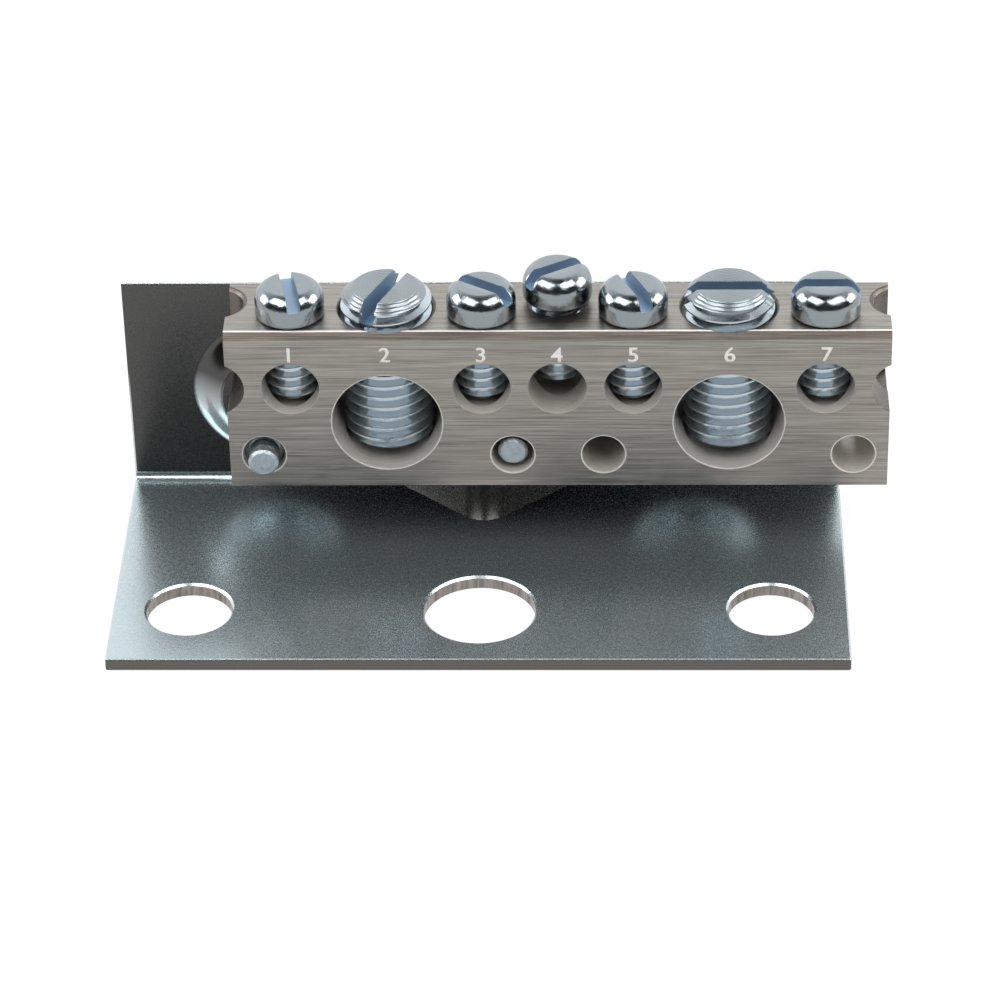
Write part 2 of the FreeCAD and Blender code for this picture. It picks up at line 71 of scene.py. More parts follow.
# Parts of a face's unit normal that tell which way the face looks
STRAIGHT = 0.99
MOSTLY = 0.5
HARDLY = 0.3
BARELY = 0.1
ALONG_BAR = 0.05
RIDGE_LEAN = (0.1, 0.6)

# Where one finish, painted shade, painted light or painted highlight ends and the next begins on the bracket
# and the bar
HOLE_MARGIN = 2 * MM
PORT_LEVEL = 0.4
MAIN_REACH = 7 * MM
BAR_FOOT = 0.5 * MM
BAR_TOP = 0.85 * MM
BAR_END = 3.5 * MM
BEVEL_DROP = 2 * MM
MOUTH_DROP = 1.2 * MM
NUMBER_GAP = 1 * MM

# Height of a digit as a share of its font's size
DIGIT_SHARE = 0.69

# Thread form as shares of the pitch, and turns that are cut off again at each end
CREST_SHARE = 0.14
FLANK_SHARE = 0.33
SPARE_TURNS = 2

# Heads of the small clamp screws: the rounding of the crown as a share of the dome, and the steps of each arc
CROWN_SHARE = 0.3
SEAT_STEPS, DOME_STEPS, CROWN_STEPS = 6, 18, 5

# Mounting screws: lengths, then shares of the washer and of the hexagon
TIP_BREAK = 0.3 * MM
TAPER_RUN = 0.4 * MM
WASHER_BREAK = 0.2 * MM
HEX_FOOT = 0.1 * MM
HEX_DROP = 0.35 * MM
WASHER_RIM = 0.5
WASHER_CROWN = 0.9
HEX_CROWN = 0.47

# Stage: floor, studio light from front to back, lamps and camera, in metres, degrees and watts
FLOOR_SIZE = 4.0
FLOOR_DROP = 0.1 * MM
FLOOR_GLOW = 0.85
STUDIO_LIGHT = (0.05, 1.5)
STUDIO_REACH = (-0.1, 0.6)
LAMP_TARGET = Vector((0.0, 0.01, 0.015))
LAMP_DISTANCE = 0.9
SOFTBOX = {"elevation": 52, "wide": 0.7, "tall": 0.5, "power": 5.0}
SIDE_LAMP = {"elevation": 22, "wide": 0.45, "tall": 0.45, "power": 4.5}
LAMPS = (("softbox_left", -52, SOFTBOX), ("softbox_right", 52, SOFTBOX),
         ("side_left", -98, SIDE_LAMP), ("side_right", 98, SIDE_LAMP))
CAMERA_LENS = 153.86
CAMERA_SENSOR = 36.0
CAMERA_PLACE = (0.01797, -0.39942, 0.28812)
CAMERA_PAN = 2.2
CAMERA_FALL = 34.172
CAMERA_ROLL = -1.299


def linear(code):
    """An sRGB hex colour as linear red, green, blue and alpha."""
    channels = [int(code[place:place + 2], 16) / 255 for place in (1, 3, 5)]
    return tuple(c / 12.92 if c <= 0.04045 else ((c + 0.055) / 1.055) ** 2.4 for c in channels) + (1.0,)


def colour(label, meaning, code):
    """A colour setting whose default is an sRGB hex value."""
    return FloatVectorProperty(name=label, description=meaning, subtype="COLOR", size=4, min=0.0, max=1.0,
                               default=linear(code))


def length(label, meaning, millimetres):
    """A length setting given in millimetres and kept in metres."""
    return FloatProperty(name=label, description=meaning, unit="LENGTH", default=millimetres * MM)


def angle(label, meaning, degrees):
    """An angle setting given in degrees."""
    return FloatProperty(name=label, description=meaning, unit="ROTATION", default=math.radians(degrees))


class GroundBarFinish(bpy.types.PropertyGroup):
    """Colours of the finishes, of painted shade, light and highlights, and of the stage."""
    plate: colour("Plate", "Zinc plating on the bracket", "#BEC6C8")
    plate_tint: colour("Plate tint", "Passivated patches on the bracket", "#AEBEC4")
    # Darker than the plate as painted shade: the dark reflection on the flange's front face and on the dart
    flange: colour("Flange", "Duller zinc on the face behind the bar", "#4F4F4E")
    # Lighter than the plate as a painted highlight along the flange's top edge
    top_edge: colour("Top edge", "Burnished top edge of the flange", "#D9DEE1")
    # Dark partly as sheared steel and partly as painted shade for the shadowed floor that the edges reflect;
    # also the dark streaks in the punched walls
    edge: colour("Sheared edge", "Sheared edges of the bracket", "#67635F")
    punched: colour("Punched", "Bright streaks on the walls of the punched holes", "#A09A92")
    screw: colour("Screw", "Zinc plating on the threads", "#B4BEC5")
    slot: colour("Slot", "Blue passivated zinc in the slots", "#859BB0")
    # Darker than the threads as painted shade: the dark reflection on the heads and the large screws' crowns;
    # also the dark grains of the mounting screws
    head: colour("Head", "Darker zinc on the screws' heads", "#8B9296")
    bar: colour("Bar", "Tin plating on the bar", "#A4A09A")
    bar_streak: colour("Bar streak", "Darker draw lines on the bar", "#7A756F")
    # Bevel colours are a darker, browner copy of the bar's tin: painted shade on the bevel, the mouths of the
    # holes in the top and the upper faces near the bar's ends
    bevel: colour("Bevel", "Tin plating on the bar's bevel", "#7A736C")
    bevel_streak: colour("Bevel streak", "Brown draw lines on the bar's bevel", "#514B46")
    # Lighter than the bar as painted light inside the ports and holes; the sawn ends take the same colour
    bore: colour("Bore", "Drilled walls of the ports", "#DAD5CD")
    # Also a painted highlight on the rounding between the bar's top and its bevel
    struck: colour("Struck", "Fresh metal in the stamped numbers", "#ECE9E4")
    floor: colour("Floor", "White studio floor", "#FFFFFF")
    studio: colour("Studio", "Light of the studio all round", "#F7F9FA")


class GroundBarPlate(bpy.types.PropertyGroup):
    """Edges of the bracket and the bar, and the numbers on the bar."""
    plate_thick: length("Plate thickness", "Thickness of the bracket's plate", 1.6)
    plate_edge: length("Plate edge", "Rounding of the sheared plate edges", 0.2)
    main_rim: length("Main rim", "Chamfer of the two large ports", 0.15)
    side_rim: length("Side rim", "Chamfer of the small ports", 0.1)
    mount_rim: length("Mount rim", "Chamfer of the mounting holes", 0.2)
    dart_reach: length("Dart reach", "Half the width of the bracket's stiffening dart", 11.0)
    # The bosses darken upwards between these two heights, a painted shade
    boss_bright: length("Boss bright", "Height up to which the bosses are bright", 12.0)
    boss_dull: length("Boss dull", "Height from which the bosses are dull", 17.0)
    ridge: length("Ridge", "Rounding between the bar's top and its bevel", 0.12)
    number_height: length("Number height", "Height of the stamped port numbers", 1.9)
    number_level: length("Number level", "Foot of the port numbers below the bar's top", 3.75)
    number_depth: length("Number depth", "Depth of the stamped port numbers", 0.12)
    number_weight: length("Number weight", "Growth of the numbers' strokes", 0.05)


class GroundBarScrews(bpy.types.PropertyGroup):
    """Threads, heads and slots of the screws."""
    port_pitch: length("Port pitch", "Rise of the small screws in one turn", 1.27)
    port_depth: length("Port thread depth", "Depth of the small screws' thread", 0.68)
    port_radius: length("Port radius", "Outer radius of the small screws' thread", 3.1)
    port_tip: length("Port tip", "Chamfer at the small screws' tips", 0.8)
    port_head: length("Port head height", "Height of the small screws' heads", 3.85)
    port_head_radius: length("Port head radius", "Radius of the small screws' heads", 4.0)
    port_seat: length("Port seat round", "Rounding under the small heads' rims", 0.45)
    port_dome: length("Port dome", "Radius of the small heads' domed shoulder", 2.2)
    port_crown: length("Port crown", "Radius of the flat top of the small heads", 2.6)
    port_slot: length("Port slot", "Width of the small heads' slots", 1.5)
    port_slot_depth: length("Port slot depth", "Depth of the small heads' slots", 1.65)
    main_pitch: length("Main pitch", "Rise of the large screws in one turn", 1.411)
    main_depth: length("Main thread depth", "Depth of the large screws' thread", 0.8)
    main_radius: length("Main radius", "Outer radius of the large screws", 5.25)
    main_tip: length("Main tip", "Chamfer at the large screws' tips", 0.7)
    main_crown_run: length("Main crown run", "Width of the large screws' top bevel", 1.45)
    main_crown_drop: length("Main crown drop", "Height of the large screws' top bevel", 1.3)
    main_slot: length("Main slot", "Width of the large screws' slots", 1.7)
    main_slot_depth: length("Main slot depth", "Depth of the large screws' slots", 2.7)
    slot_edge: length("Slot edge", "Rounding of the slots' edges", 0.12)
    mount_pitch: length("Mount pitch", "Rise of the mounting screws in one turn", 1.058)
    mount_depth: length("Mount thread depth", "Depth of the mounting screws' thread", 0.45)
    mount_radius: length("Mount radius", "Outer radius of the mounting screws", 2.4)
    mount_tip: length("Mount tip", "Radius of the mounting screws' tips", 1.75)
    mount_taper: length("Mount taper", "Length of the mounting screws' plain points", 3.2)
    mount_head: length("Mount head", "Height of the mounting screws' heads", 3.0)
    mount_washer: length("Mount washer", "Thickness of the mounting screws' washer flanges", 0.8)
    mount_washer_radius: length("Mount washer radius", "Radius of the mounting screws' washer flanges", 4.9)
    mount_hex: length("Mount hex", "Width across the flats of the mounting screws' heads", 7.9)
    turn_port_1: angle("Turn 1", "Slot of port screw 1, from X", -78.0)
    turn_port_2: angle("Turn 2", "Slot of port screw 2, from X", -33.0)
    turn_port_3: angle("Turn 3", "Slot of port screw 3, from X", 32.0)
    turn_port_4: angle("Turn 4", "Slot of port screw 4, from X", -66.0)
    turn_port_5: angle("Turn 5", "Slot of port screw 5, from X", 0.0)
    turn_main_left: angle("Turn left", "Slot of the left large screw, from X", 66.0)
    turn_main_right: angle("Turn right", "Slot of the right large screw, from X", 0.0)


def add_node(tree, kind, inputs=None, **settings):
    """Adds a shader node, sets its fields and fills or links its inputs."""
    node = tree.nodes.new(kind)
    for field, value in settings.items():
        setattr(node, field, value)
    for socket, value in (inputs or {}).items():
        if isinstance(value, bpy.types.NodeSocket):
            tree.links.new(value, node.inputs[socket])
        else:
            node.inputs[socket].default_value = value
    return node


def new_material(name):
    """An empty node material and its tree."""
    material = bpy.data.materials.new(name)
    material.use_nodes = True
    material.node_tree.nodes.clear()
    return material, material.node_tree


def close_material(tree, inputs):
    """Ends a material in one metal shader with these inputs."""
    shader = add_node(tree, "ShaderNodeBsdfPrincipled", {"Metallic": 1.0, **inputs})
    add_node(tree, "ShaderNodeOutputMaterial", {"Surface": shader.outputs["BSDF"]})


def speckle(tree, grain, detail=2.0, stretch=(1.0, 1.0, 1.0)):
    """Noise with grains of a real size, drawn out along an axis where stretch is above one."""
    place = add_node(tree, "ShaderNodeTexCoord").outputs["Object"]
    scaled = add_node(tree, "ShaderNodeMapping", {
        "Vector": place, "Scale": tuple(1.0 / (grain * factor) for factor in stretch)})
    noise = add_node(tree, "ShaderNodeTexNoise", {
        "Vector": scaled.outputs["Vector"], "Scale": 1.0, "Detail": detail, "Roughness": 0.55})
    return noise.outputs["Fac"]


def spread(tree, value, low, high, start=0.3, stop=0.7):
    """Maps a value from one range to another."""
    node = add_node(tree, "ShaderNodeMapRange", {
        "Value": value, "From Min": start, "From Max": stop, "To Min": low, "To Max": high})
    return node.outputs["Result"]


def between(tree, share, first, second):
    """A colour that goes from one to another as a value goes from 0 to 1."""
    ramp = add_node(tree, "ShaderNodeValToRGB", {"Fac": share})
    for element, tone in zip(ramp.color_ramp.elements, (first, second)):
        element.color = tone
    return ramp.outputs["Color"]


def relief(tree, height, depth):
    """A bump of a real depth."""
    return add_node(tree, "ShaderNodeBump", {
        "Height": height, "Strength": 1.0, "Distance": depth}).outputs["Normal"]


def zinc_plate(name, light, dark):
    """Zinc plating on rolled steel: a hazy mirror with a fine grain and faint patches."""
    material, tree = new_material(name)
    close_material(tree, {
        "Base Color": between(tree, speckle(tree, 9 * MM), light, dark), "Metallic": 0.9,
        "Roughness": spread(tree, speckle(tree, 0.4 * MM, 3.0), 0.2, 0.32),
        "Normal": relief(tree, speckle(tree, 0.3 * MM, 3.0), 0.004 * MM)})
    return material


def zinc_boss(finish, low, high):
    """Zinc on the bosses with painted shade: bright at the foot and darkened above into the flange's painted
    shade round it.
    """
    material, tree = new_material("zinc_boss")
    place = add_node(tree, "ShaderNodeTexCoord").outputs["Object"]
    height = add_node(tree, "ShaderNodeSeparateXYZ", {"Vector": place}).outputs["Z"]
    close_material(tree, {
        "Base Color": between(tree, spread(tree, height, 0.0, 1.0, low, high), finish.plate, finish.flange),
        "Roughness": 0.2, "Normal": relief(tree, speckle(tree, 0.14 * MM, 3.0), 0.003 * MM)})
    return material


def sheared_edge(finish):
    """Sheared steel under thin zinc: rough, dull and darker than the faces, partly as sheared steel and partly
    as painted shade.
    """
    material, tree = new_material("sheared_edge")
    streaks = speckle(tree, 0.25 * MM, 3.0, (1.0, 1.0, 4.0))
    close_material(tree, {
        "Base Color": finish.edge, "Roughness": 0.45, "Normal": relief(tree, streaks, 0.05 * MM)})
    return material


def punched_wall(finish):
    """Walls of the punched holes: bright and dark streaks through the plate."""
    material, tree = new_material("punched_wall")
    streaks = spread(tree, speckle(tree, 0.6 * MM, 3.0, (1.0, 1.0, 8.0)), 0.0, 1.0)
    close_material(tree, {
        "Base Color": between(tree, streaks, finish.punched, finish.edge), "Roughness": 0.25,
        "Normal": relief(tree, streaks, 0.03 * MM)})
    return material


def forged_zinc(finish):
    """Zinc on rough forged steel: matt and grainy, for the mounting screws."""
    material, tree = new_material("forged_zinc")
    grain = speckle(tree, 0.7 * MM, 4.0)
    close_material(tree, {
        "Base Color": between(tree, grain, finish.head, finish.screw), "Roughness": 0.35,
        "Normal": relief(tree, grain, 0.25 * MM)})
    return material


def passivated_slot(finish):
    """Blue passivated zinc in the screws' slots: matt, so that it stays light between the walls."""
    material, tree = new_material("passivated_slot")
    close_material(tree, {
        "Base Color": finish.slot, "Metallic": 0.7, "Roughness": 0.35,
        "Normal": relief(tree, speckle(tree, 0.3 * MM, 3.0), 0.03 * MM)})
    return material


def zinc_screw(name, tone):
    """Zinc on cut and headed screws: sharp highlights with a cool cast."""
    material, tree = new_material(name)
    close_material(tree, {
        "Base Color": tone,
        "Roughness": spread(tree, speckle(tree, 0.9 * MM), 0.12, 0.24),
        "Normal": relief(tree, speckle(tree, 0.8 * MM), 0.035 * MM)})
    return material


def turned_zinc(finish):
    """Zinc over a turned face: fine rings round the screw's own axis, in the heads' darker colour, a painted
    shade.
    """
    material, tree = new_material("turned_zinc")
    place = add_node(tree, "ShaderNodeAttribute", attribute_name="screw_place").outputs["Vector"]
    # The rings are about 0.35 mm apart, coarser than a lathe's, so that they show.
    rings = add_node(tree, "ShaderNodeTexWave", {
        "Vector": place, "Scale": 0.9 / MM, "Distortion": 1.5, "Detail": 2.0}, wave_type="RINGS",
        rings_direction="Z")
    close_material(tree, {
        "Base Color": finish.head, "Roughness": 0.3,
        "Normal": relief(tree, rings.outputs["Fac"], 0.03 * MM)})
    return material


def drawn_tin(name, light, dark):
    """Tin-plated drawn aluminium: a satin grey with fine lines along the bar."""
    material, tree = new_material(name)
    # Draw lines are finer than this on real stock, and are 0.16 mm wide here so that they show.
    lines = spread(tree, speckle(tree, 0.16 * MM, 4.0, (60.0, 1.0, 1.0)), 0.0, 1.0)
    close_material(tree, {
        "Base Color": between(tree, lines, light, dark),
        "Roughness": spread(tree, speckle(tree, 2.5 * MM), 0.28, 0.4),
        "Normal": relief(tree, lines, 0.012 * MM)})
    return material


def bored_tin(finish):
    """Drilled and sawn tin-plated aluminium: duller and warmer, with marks across the bore, and lighter than
    the bar as painted light inside the ports.
    """
    material, tree = new_material("bored_tin")
    marks = speckle(tree, 0.2 * MM, 3.0, (10.0, 1.0, 10.0))
    close_material(tree, {
        "Base Color": between(tree, marks, finish.bore, finish.bar), "Metallic": 0.35, "Roughness": 0.35,
        "Normal": relief(tree, marks, 0.008 * MM)})
    return material


def struck_tin(finish):
    """Freshly struck tin in the stamped numbers: light and matt, so that they read on the grey face; also a
    painted highlight along the rounding between the bar's top and its bevel.
    """
    material, tree = new_material("struck_tin")
    close_material(tree, {
        "Base Color": finish.struck, "Roughness": 0.5,
        "Normal": relief(tree, speckle(tree, 0.15 * MM, 3.0), 0.05 * MM)})
    return material


def as_piece(name, shape, materials, body, node, local=None):
    """Turns a bmesh into a shown piece that rides on a CAD body and stands for a CAD node."""
    bmesh.ops.recalc_face_normals(shape, faces=shape.faces)
    for face in shape.faces:
        face.smooth = True
    for edge in shape.edges:
        edge.smooth = not is_sharp(edge, CREASE_ANGLE)
    mesh = bpy.data.meshes.new(name)
    shape.to_mesh(mesh)
    shape.free()
    for material in materials:
        mesh.materials.append(material)
    if local is not None:
        inverse = local.inverted()
        places = mesh.attributes.new("screw_place", "FLOAT_VECTOR", "POINT")
        for vertex, value in zip(mesh.vertices, places.data):
            value.vector = inverse @ vertex.co
    piece = bpy.data.objects.new(name, mesh)
    bpy.context.scene.collection.objects.link(piece)
    even = piece.modifiers.new("even_normals", "WEIGHTED_NORMAL")
    even.keep_sharp = True
    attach(piece, body)
    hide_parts(node)


def middle_of(node):
    """The middle of a CAD node's box."""
    low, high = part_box(node)
    return (low + high) / 2


def solid_copy(node):
    """A merged copy of a CAD node with its flat faces whole."""
    shape = bmesh.new()
    shape.from_mesh(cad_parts[node].data)
    bmesh.ops.remove_doubles(shape, verts=shape.verts, dist=WELD)
    bmesh.ops.dissolve_limit(shape, angle_limit=math.radians(FLAT_ANGLE), verts=shape.verts, edges=shape.edges)
    return shape


def round_edges(shape, pick, width, segments=2):
    """Rounds the edges that a test picks."""
    edges = [edge for edge in shape.edges if len(edge.link_faces) == 2 and pick(edge)]
    bmesh.ops.bevel(shape, geom=edges, offset=width, offset_type="OFFSET", segments=segments, profile=0.5,
                    affect="EDGES", material=-1, clamp_overlap=False)


def is_sharp(edge, degrees):
    """True where two faces meet at more than this angle."""
    return edge.calc_face_angle(0.0) > math.radians(degrees)


def combine(first, second, operation, crossing=False):
    """The exact union, difference or overlap of two closed shapes that may cross themselves if so told."""
    pair = []
    for shape in (first, second):
        bmesh.ops.recalc_face_normals(shape, faces=shape.faces)
        mesh = bpy.data.meshes.new("operand")
        shape.to_mesh(mesh)
        shape.free()
        operand = bpy.data.objects.new("operand", mesh)
        bpy.context.scene.collection.objects.link(operand)
        pair.append(operand)
    change = pair[0].modifiers.new("combine", "BOOLEAN")
    change.operation = operation
    change.solver = "EXACT"
    change.use_self = crossing
    change.object = pair[1]
    made = bpy.data.meshes.new_from_object(pair[0].evaluated_get(bpy.context.evaluated_depsgraph_get()))
    shape = bmesh.new()
    shape.from_mesh(made)
    bpy.data.meshes.remove(made)
    for operand in pair:
        mesh = operand.data
        bpy.data.objects.remove(operand)
        bpy.data.meshes.remove(mesh)
    bmesh.ops.remove_doubles(shape, verts=shape.verts, dist=WELD)
    return shape


def turned(profile, steps=96):
    """A closed solid of revolution about Z, from radii and heights that start and end on the axis."""
    shape = bmesh.new()
    points = [shape.verts.new((radius, 0.0, height)) for radius, height in profile]
    edges = [shape.edges.new(pair) for pair in zip(points, points[1:])]
    bmesh.ops.spin(shape, geom=points + edges, cent=(0, 0, 0), axis=(0, 0, 1), angle=math.tau, steps=steps,
                   use_merge=True)
    bmesh.ops.remove_doubles(shape, verts=shape.verts, dist=WELD)
    return shape


def threaded(radius, depth, pitch, low, high, steps=72):
    """A closed rod from one height to another with a right-hand V thread."""
    shape = bmesh.new()
    crest, flank, spare = CREST_SHARE * pitch, FLANK_SHARE * pitch, SPARE_TURNS * pitch
    root = pitch - crest - 2 * flank
    height = low - spare
    points = []
    while height < high + spare:
        for reach, rise in ((radius - depth, 0.0), (radius - depth, root), (radius, root + flank),
                            (radius, root + flank + crest)):
            points.append(shape.verts.new((reach, 0.0, height + rise)))
        height += pitch
    edges = [shape.edges.new(pair) for pair in zip(points, points[1:])]
    bmesh.ops.spin(shape, geom=points + edges, cent=(0, 0, 0), axis=(0, 0, 1), angle=math.tau, steps=steps,
                   dvec=(0, 0, pitch / steps))
    bmesh.ops.remove_doubles(shape, verts=shape.verts, dist=WELD)
    for level, side in ((low, -1), (high, 1)):
        bmesh.ops.bisect_plane(shape, geom=shape.verts[:] + shape.edges[:] + shape.faces[:], dist=WELD,
                               plane_co=(0, 0, level), plane_no=(0, 0, side), clear_outer=True)
    close_holes(shape)
    return shape


def close_holes(shape):
    """Fills every open edge loop."""
    bmesh.ops.holes_fill(shape, edges=[edge for edge in shape.edges if edge.is_boundary], sides=0)


def box(low, high):
    """A closed box between two corners."""
    shape = bmesh.new()
    middle = (Vector(low) + Vector(high)) / 2
    size = Vector(high) - Vector(low)
    stretch = Matrix.Diagonal((*size, 1.0))
    bmesh.ops.create_cube(shape, size=1.0, matrix=Matrix.Translation(middle) @ stretch)
    return shape


def arc(centre, radius, first, last, steps):
    """Points of an arc in the plane of radius and height, between two angles in degrees."""
    points = []
    for step in range(steps + 1):
        turn = math.radians(first + (last - first) * step / steps)
        points.append((centre[0] + radius * math.cos(turn), centre[1] + radius * math.sin(turn)))
    return points


def cut_slot(shape, width, floor, reach, edge):
    """Cuts a screwdriver slot along X down to a floor and rounds its edges."""
    shape = combine(shape, box((-reach, -width / 2, floor), (reach, width / 2, reach)), "DIFFERENCE")

    def is_rim(rim):
        on_wall = all(abs(abs(vertex.co.y) - width / 2) < SEAM and vertex.co.z > floor + SEAM
                      for vertex in rim.verts)
        return on_wall and is_sharp(rim, SLOT_ANGLE)

    round_edges(shape, is_rim, edge)
    return shape


def in_slot(point, width, floor):
    """True for a point on or in a slot along X."""
    return abs(point.y) < width / 2 + SEAM and point.z > floor - SEAM


def coat(shape, metals, metal_on):
    """Gives each face the metal that a test names for it."""
    names = list(metals)
    for face in shape.faces:
        face.material_index = names.index(metal_on(face))


def placed(shape, matrix):
    """A moved copy of a shape."""
    copy = shape.copy()
    bmesh.ops.transform(copy, matrix=matrix, verts=copy.verts)
    return copy


class GROUNDBAR_OT_bracket(bpy.types.Operator):
    """Builds the folded bracket with rounded sheet edges"""
    bl_idname = "groundbar.bracket"
    bl_label = "Bracket"

    def execute(self, context):
        finish, sizes = context.scene.ground_bar_finish, context.scene.ground_bar_plate
        shape = solid_copy("bracket")
        low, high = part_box("bracket")
        hole_limit = (low.y + high.y) / 2 + HOLE_MARGIN
        boss_level = hole_limit / 2

        def on_outline(point):
            return (min(point.x - low.x, high.x - point.x) < SEAM or point.y - low.y < SEAM
                    or high.z - point.z < SEAM)

        # Faces of the stiffening dart, which take the flange's painted shade
        def on_dart(face, centre):
            return (abs(centre.x) < sizes.dart_reach and sizes.plate_thick + SEAM < centre.z < high.z / 2
                    and face.normal.z > BARELY)

        def is_sheared(edge):
            return all(on_outline(vertex.co) for vertex in edge.verts) and is_sharp(edge, CORNER_ANGLE)

        def metal_on(face):
            centre = face.calc_center_median()
            # Sheared outline faces get the dark edge colour, partly a painted shade
            if on_outline(centre) and abs(face.normal.z) < MOSTLY:
                return "edge"
            if abs(face.normal.z) < HARDLY and centre.y < hole_limit and centre.z < sizes.plate_thick:
                return "punched"
            # The flange's front face and the dart get the flange colour, a painted shade
            if face.normal.y < -STRAIGHT and centre.y > hole_limit or on_dart(face, centre):
                return "flange"
            # The top of the flange gets a lighter colour, a painted highlight
            if high.z - centre.z < 2 * sizes.plate_edge and face.normal.z > MOSTLY:
                return "top_edge"
            # Bosses above this level get the painted shade that darkens upwards
            return "shaded_boss" if face.normal.y < 0.0 and centre.z > boss_level else "plate"

        metals = {
            "plate": zinc_plate("zinc_plate", finish.plate, finish.plate_tint),
            "edge": sheared_edge(finish),
            "flange": zinc_plate("zinc_flange", finish.flange, finish.flange),
            "punched": punched_wall(finish),
            "top_edge": zinc_plate("zinc_top_edge", finish.top_edge, finish.top_edge),
            "shaded_boss": zinc_boss(finish, sizes.boss_bright, sizes.boss_dull)}
        round_edges(shape, is_sheared, sizes.plate_edge, segments=3)
        coat(shape, metals, metal_on)
        as_piece("folded_bracket", shape, metals.values(), FRAME_BODY, "bracket")
        return {"FINISHED"}


class GROUNDBAR_OT_terminal_bar(bpy.types.Operator):
    """Builds the drilled terminal bar with plain stamped port numbers"""
    bl_idname = "groundbar.terminal_bar"
    bl_label = "Terminal bar"

    def execute(self, context):
        finish, sizes = context.scene.ground_bar_finish, context.scene.ground_bar_plate
        shape = solid_copy("terminal_bar")
        low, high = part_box("terminal_bar")

        mains = [middle_of(node).x for node in MAIN_SCREWS]
        level = low.z + PORT_LEVEL * (high.z - low.z)
        foot = high.z - sizes.number_level

        def lies_on(edge, axis, planes):
            return any(all(abs(vertex.co[axis] - plane) < SEAM for vertex in edge.verts) for plane in planes)

        def rim_kind(edge):
            on_face = lies_on(edge, 1, (low.y, high.y)) and not lies_on(edge, 0, (low.x, high.x))
            if not on_face or not is_sharp(edge, CORNER_ANGLE):
                return None
            place = (edge.verts[0].co + edge.verts[1].co) / 2
            if min(abs(place.x - main) for main in mains) < MAIN_REACH:
                return "main"
            return "side" if place.z > level else "mount"

        def on_ridge(edge):
            least, most = RIDGE_ANGLES
            on_top = all(high.z - vertex.co.z < SEAM for vertex in edge.verts)
            return on_top and is_sharp(edge, least) and not is_sharp(edge, most)

        def metal_on(face):
            centre, normal = face.calc_center_median(), face.normal
            drop = high.z - centre.z
            along = abs(normal.x) < ALONG_BAR
            skin = centre.z - low.z < BAR_FOOT or drop < BAR_TOP and along
            at_end = (min(centre.x - low.x, high.x - centre.x) < BAR_END and abs(normal.x) < STRAIGHT
                      and centre.z > level and not skin)
            stamped = centre.y < low.y + sizes.number_depth + SEAM and foot < centre.z < high.z - NUMBER_GAP
            ridge = along and drop < sizes.ridge and -RIDGE_LEAN[1] < normal.y < -RIDGE_LEAN[0]
            bevel = along and drop < BEVEL_DROP and normal.y < -MOSTLY
            if not low.y + SEAM < centre.y < high.y - SEAM:
                return "face"
            # The ridge rounding gets the light struck colour, a painted highlight
            if stamped or ridge:
                return "struck"
            # The bevel, the hole mouths and the upper faces near the ends get the darker copy of the tin, a
            # painted shade
            if bevel or at_end or drop < MOUTH_DROP and not skin:
                return "bevel"
            # The remaining inner and end faces get the light bore colour, a painted light
            return "face" if skin else "bore"

        metals = {
            "face": drawn_tin("tinned_bar", finish.bar, finish.bar_streak),
            "bore": bored_tin(finish),
            "struck": struck_tin(finish),
            "bevel": drawn_tin("tinned_bevel", finish.bevel, finish.bevel_streak)}
        for kind, width in (("main", sizes.main_rim), ("side", sizes.side_rim), ("mount", sizes.mount_rim)):
            round_edges(shape, lambda edge: rim_kind(edge) == kind, width)
        round_edges(shape, on_ridge, sizes.ridge)
        stations = sorted(middle_of(node).x for node in PORT_SCREWS + MAIN_SCREWS)
        for number, station in enumerate(stations, start=1):
            digit = self.number(str(number), sizes, Vector((station, low.y, foot)))
            shape = combine(shape, digit, "DIFFERENCE", crossing=True)
        close_holes(shape)
        coat(shape, metals, metal_on)
        as_piece("drilled_bar", shape, metals.values(), FRAME_BODY, "terminal_bar")
        return {"FINISHED"}

    def number(self, text, sizes, place):
        """A number as a closed shape, half in and half out of the bar's front face."""
        curve = bpy.data.curves.new("number", "FONT")
        curve.body = text
        curve.align_x = "CENTER"
        curve.size = sizes.number_height / DIGIT_SHARE
        curve.extrude = sizes.number_depth
        curve.offset = sizes.number_weight
        holder = bpy.data.objects.new("number", curve)
        bpy.context.scene.collection.objects.link(holder)
        mesh = bpy.data.meshes.new_from_object(holder.evaluated_get(bpy.context.evaluated_depsgraph_get()))
        shape = bmesh.new()
        shape.from_mesh(mesh)
        bpy.data.meshes.remove(mesh)
        bpy.data.objects.remove(holder)
        bpy.data.curves.remove(curve)
        bmesh.ops.remove_doubles(shape, verts=shape.verts, dist=WELD)
        upright = Matrix.Translation(place) @ Matrix.Rotation(math.pi / 2, 4, "X")
        bmesh.ops.transform(shape, matrix=upright, verts=shape.verts)
        return shape


